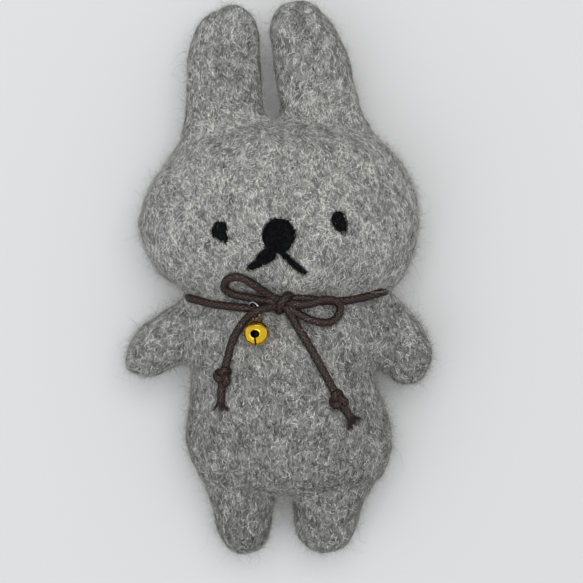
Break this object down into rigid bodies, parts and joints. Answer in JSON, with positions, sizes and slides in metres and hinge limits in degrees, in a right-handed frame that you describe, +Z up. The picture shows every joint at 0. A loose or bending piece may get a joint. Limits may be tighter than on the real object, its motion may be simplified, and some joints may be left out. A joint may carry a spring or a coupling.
{
  "type": "stuffed rabbit doll",
  "caption": "Small stuffed rabbit doll of grey wool felt, lying on its back, with a waxed cord bow and a round jingle bell at the neck.",
  "frame": {"origin": "on the surface the doll lies on, under the middle of its outline", "axes": "+X to the right seen from above, +Y from the feet to the ears, +Z up out of the face and belly"},
  "size_m": [0.0922, 0.1652, 0.0394],
  "materials": {
    "wool_felt": "matte",
    "stuffing": "matte",
    "black_wool": "matte",
    "waxed_cord": "satin",
    "gold_plate": "polished",
    "steel": "polished"
  },
  "bodies": {
    "torso": {"torso_front_panel": "wool_felt", "torso_back_panel": "wool_felt", "torso_stuffing": "stuffing", "neck_cord": "waxed_cord", "bow_knot": "waxed_cord", "left_bow_loop": "waxed_cord", "right_bow_loop": "waxed_cord", "left_cord_tail": "waxed_cord", "right_cord_tail": "waxed_cord", "left_end_knot": "waxed_cord", "right_end_knot": "waxed_cord", "left_frayed_end": "waxed_cord", "right_frayed_end": "waxed_cord"},
    "head": {"head_front_panel": "wool_felt", "head_back_panel": "wool_felt", "head_stuffing": "stuffing", "left_eye": "black_wool", "right_eye": "black_wool", "nose": "black_wool", "mouth_left_stitch": "black_wool", "mouth_right_stitch": "black_wool"},
    "left_ear": {"left_ear_front_panel": "wool_felt", "left_ear_back_panel": "wool_felt", "left_ear_stuffing": "stuffing"},
    "right_ear": {"right_ear_front_panel": "wool_felt", "right_ear_back_panel": "wool_felt", "right_ear_stuffing": "stuffing"},
    "left_arm": {"left_arm_front_panel": "wool_felt", "left_arm_back_panel": "wool_felt", "left_arm_stuffing": "stuffing"},
    "right_arm": {"right_arm_front_panel": "wool_felt", "right_arm_back_panel": "wool_felt", "right_arm_stuffing": "stuffing"},
    "left_leg": {"left_leg_front_panel": "wool_felt", "left_leg_back_panel": "wool_felt", "left_leg_stuffing": "stuffing"},
    "right_leg": {"right_leg_front_panel": "wool_felt", "right_leg_back_panel": "wool_felt", "right_leg_stuffing": "stuffing"},
    "jump_ring": {"jump_ring": "steel"},
    "bell": {"bell_eye": "gold_plate", "bell_top_shell": "gold_plate", "bell_slotted_shell": "gold_plate"},
    "pellet": {"bell_pellet": "steel"}
  },
  "joints": [
    {"name": "neck_nod", "type": "hinge", "parent": "torso", "child": "head", "pos_m": [0.0018, -0.0055, 0.0155], "axis": [1, 0, 0], "range_deg": [-10, 3], "stiffness_Nm_per_rad": 0.02},
    {"name": "left_ear_fold", "type": "hinge", "parent": "head", "child": "left_ear", "pos_m": [-0.01541, 0.04767, 0.016], "axis": [1, 0.0087, 0], "range_deg": [-8, 40], "stiffness_Nm_per_rad": 0.006},
    {"name": "right_ear_fold", "type": "hinge", "parent": "head", "child": "right_ear", "pos_m": [0.01216, 0.04912, 0.016], "axis": [0.9848, 0.1736, 0], "range_deg": [-8, 40], "stiffness_Nm_per_rad": 0.006},
    {"name": "left_shoulder_fold", "type": "hinge", "parent": "torso", "child": "left_arm", "pos_m": [-0.029, -0.0165, 0.015], "axis": [-0.5446, 0.8387, 0], "range_deg": [-15, 35], "stiffness_Nm_per_rad": 0.004},
    {"name": "right_shoulder_fold", "type": "hinge", "parent": "torso", "child": "right_arm", "pos_m": [0.0314, -0.0158, 0.015], "axis": [-0.766, -0.6428, 0], "range_deg": [-15, 35], "stiffness_Nm_per_rad": 0.004},
    {"name": "left_hip_fold", "type": "hinge", "parent": "torso", "child": "left_leg", "pos_m": [-0.0102, -0.0615, 0.0126], "axis": [-0.9986, 0.0523, 0], "range_deg": [-8, 45], "stiffness_Nm_per_rad": 0.005},
    {"name": "right_hip_fold", "type": "hinge", "parent": "torso", "child": "right_leg", "pos_m": [0.0141, -0.0615, 0.0126], "axis": [-0.9986, 0.0523, 0], "range_deg": [-8, 45], "stiffness_Nm_per_rad": 0.005},
    {"name": "ring_swing", "type": "hinge", "parent": "torso", "child": "jump_ring", "pos_m": [-0.0074, -0.0087, 0.0303], "axis": [0, 0, 1], "range_deg": [-3, 20]},
    {"name": "bell_lift", "type": "hinge", "parent": "jump_ring", "child": "bell", "pos_m": [-0.0069, -0.0121, 0.0311], "axis": [-1, 0, 0], "range_deg": [0, 15]},
    {"name": "pellet_rattle", "type": "slide", "parent": "bell", "child": "pellet", "axis": [0, 0, 1], "range_m": [0, 0.0036]}
  ]
}
